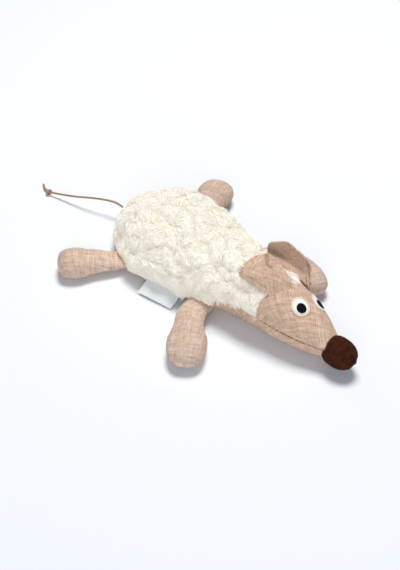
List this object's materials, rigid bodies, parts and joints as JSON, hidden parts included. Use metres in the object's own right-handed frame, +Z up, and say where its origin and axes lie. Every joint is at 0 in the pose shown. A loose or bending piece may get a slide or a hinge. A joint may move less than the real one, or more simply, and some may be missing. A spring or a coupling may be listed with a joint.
{
  "type": "plush mouse cat toy",
  "caption": "Flat-lying stuffed mouse for a cat: fur back, canvas head and belly, folded ears, paddle legs, plush nose and a knotted cord tail.",
  "frame": {"origin": "on the floor under the middle of the toy, measured without its tail cord", "axes": "+X to the nose, +Y to the toy's own left, +Z up"},
  "size_m": [0.3167, 0.1666, 0.0603],
  "materials": {
    "canvas": "plain woven canvas, matt",
    "fur": "long curly pile, matt",
    "nose_plush": "short plush, matt",
    "wadding": "loose fibre",
    "herb_cotton": "thin plain cotton",
    "satin": "smooth ribbon, soft sheen",
    "cord": "round waxed cord",
    "cream_thread": "dense stitching",
    "white_thread": "dense stitching",
    "black_thread": "dense stitching"
  },
  "bodies": {
    "torso": {"belly_panel": "canvas", "fur_back": "fur", "head_panel": "canvas", "body_wadding": "wadding", "catnip_pouch": "herb_cotton", "nose_cap": "nose_plush", "nose_wadding": "wadding", "right_eye_border": "cream_thread", "right_eye_white": "white_thread", "right_eye_pupil": "black_thread", "left_eye_border": "cream_thread", "left_eye_white": "white_thread", "left_eye_pupil": "black_thread", "side_tag": "satin", "tail_inner_knot": "cord", "tail_cord": "cord", "tail_knot": "cord", "tail_tip": "cord"},
    "right_front_leg": {"right_front_leg_sleeve": "canvas", "right_front_leg_wadding": "wadding"},
    "left_front_leg": {"left_front_leg_sleeve": "canvas", "left_front_leg_wadding": "wadding"},
    "right_rear_leg": {"right_rear_leg_sleeve": "canvas", "right_rear_leg_wadding": "wadding"},
    "left_rear_leg": {"left_rear_leg_sleeve": "canvas", "left_rear_leg_wadding": "wadding"},
    "right_ear": {"right_ear_outer": "canvas", "right_ear_lining": "canvas"},
    "left_ear": {"left_ear_outer": "canvas", "left_ear_lining": "canvas"}
  },
  "joints": [
    {"name": "right_front_leg_lift", "type": "hinge", "parent": "torso", "child": "right_front_leg", "pos_m": [0.00166, -0.0303, 0.00734], "axis": [-0.969, -0.247, 0], "range_deg": [0, 50]},
    {"name": "left_front_leg_lift", "type": "hinge", "parent": "torso", "child": "left_front_leg", "pos_m": [-0.00837, 0.03668, 0.0065], "axis": [0.9709, -0.2395, 0], "range_deg": [0, 50]},
    {"name": "right_rear_leg_lift", "type": "hinge", "parent": "torso", "child": "right_rear_leg", "pos_m": [-0.07496, -0.03733, 0.00653], "axis": [-0.9421, 0.3352, 0], "range_deg": [0, 50]},
    {"name": "left_rear_leg_lift", "type": "hinge", "parent": "torso", "child": "left_rear_leg", "pos_m": [-0.07496, 0.04113, 0.00653], "axis": [0.9421, 0.3352, 0], "range_deg": [0, 50]},
    {"name": "right_ear_lift", "type": "hinge", "parent": "torso", "child": "right_ear", "pos_m": [0.06451, -0.00657, 0.04307], "axis": [0.174, 0.9007, 0.3981], "range_deg": [0, 40]},
    {"name": "left_ear_lift", "type": "hinge", "parent": "torso", "child": "left_ear", "pos_m": [0.06367, 0.01318, 0.04108], "axis": [-0.2261, 0.8158, -0.5323], "range_deg": [0, 40]}
  ]
}
